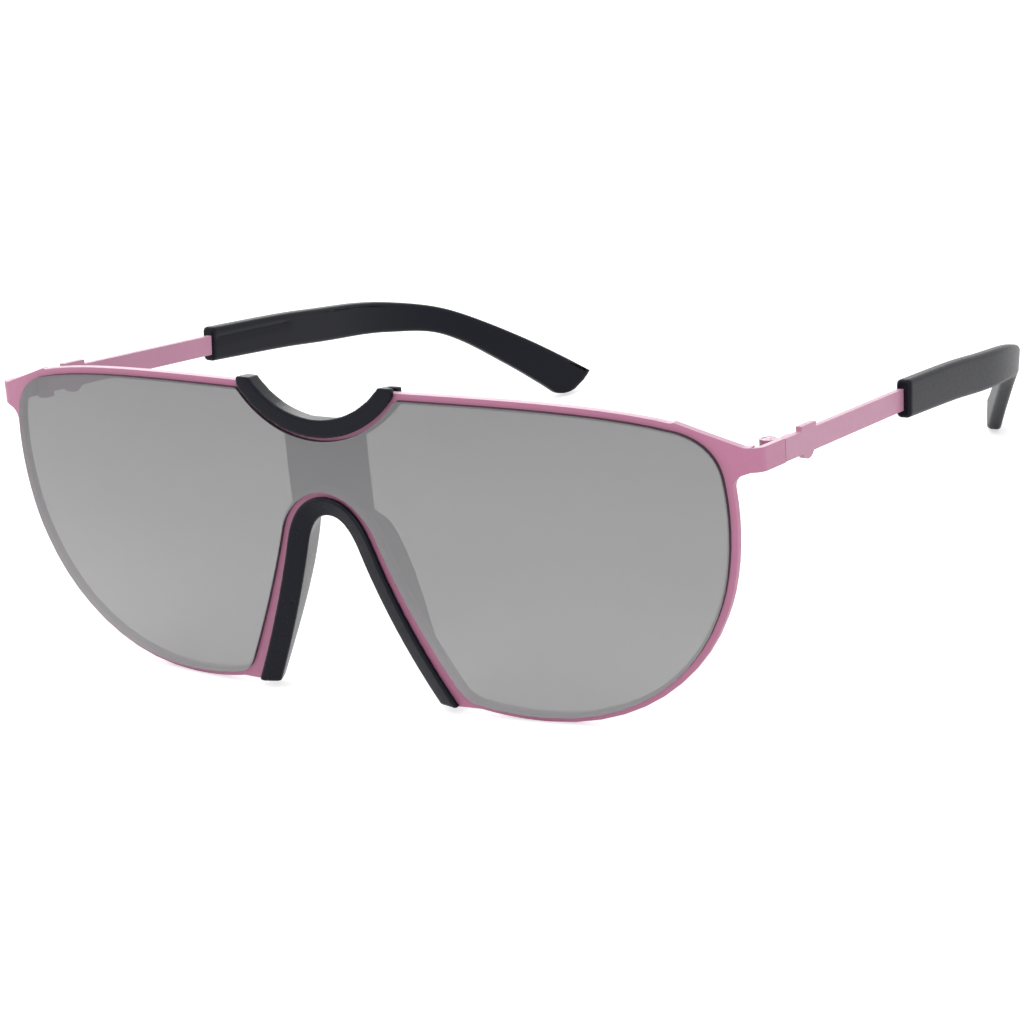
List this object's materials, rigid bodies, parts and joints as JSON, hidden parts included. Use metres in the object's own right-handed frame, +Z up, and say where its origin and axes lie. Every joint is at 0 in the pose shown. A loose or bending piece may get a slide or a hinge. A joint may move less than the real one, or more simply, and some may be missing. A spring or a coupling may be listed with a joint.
{
  "type": "shield sunglasses",
  "caption": "Shield sunglasses: one wide mirror lens in a thin sheet-metal front, soft clip-on bridge with nose wings, folding temples with soft bent sleeves.",
  "frame": {"origin": "centre of the whole object's footprint, on the surface that the rim and the sleeve tips rest on", "axes": "+X towards the wearer's left, +Y from the lens back to the sleeve tips, +Z up"},
  "size_m": [0.1468, 0.1604, 0.0553],
  "materials": {
    "paint": "satin",
    "temple_paint": "satin",
    "mirror_lens": "mirror coated, slightly see-through",
    "rubber": "satin",
    "sleeve_rubber": "satin",
    "hinge_metal": "satin",
    "screw_metal": "satin"
  },
  "bodies": {
    "front": {"front_frame": "paint", "lens": "mirror_lens", "bridge_moulding": "rubber", "left_front_hinge": "hinge_metal", "right_front_hinge": "hinge_metal", "left_hinge_screw": "screw_metal", "right_hinge_screw": "screw_metal"},
    "left_arm": {"left_temple": "temple_paint", "left_temple_hinge": "hinge_metal", "left_sleeve": "sleeve_rubber"},
    "right_arm": {"right_temple": "temple_paint", "right_temple_hinge": "hinge_metal", "right_sleeve": "sleeve_rubber"}
  },
  "joints": [
    {"name": "left_fold", "type": "hinge", "parent": "front", "child": "left_arm", "pos_m": [0.07061, -0.06097, 0.04381], "axis": [-0.0046, 0.0853, 0.9963], "range_deg": [0, 81]},
    {"name": "right_fold", "type": "hinge", "parent": "front", "child": "right_arm", "pos_m": [-0.07061, -0.06097, 0.04381], "axis": [-0.0046, -0.0853, -0.9963], "range_deg": [0, 66]}
  ]
}
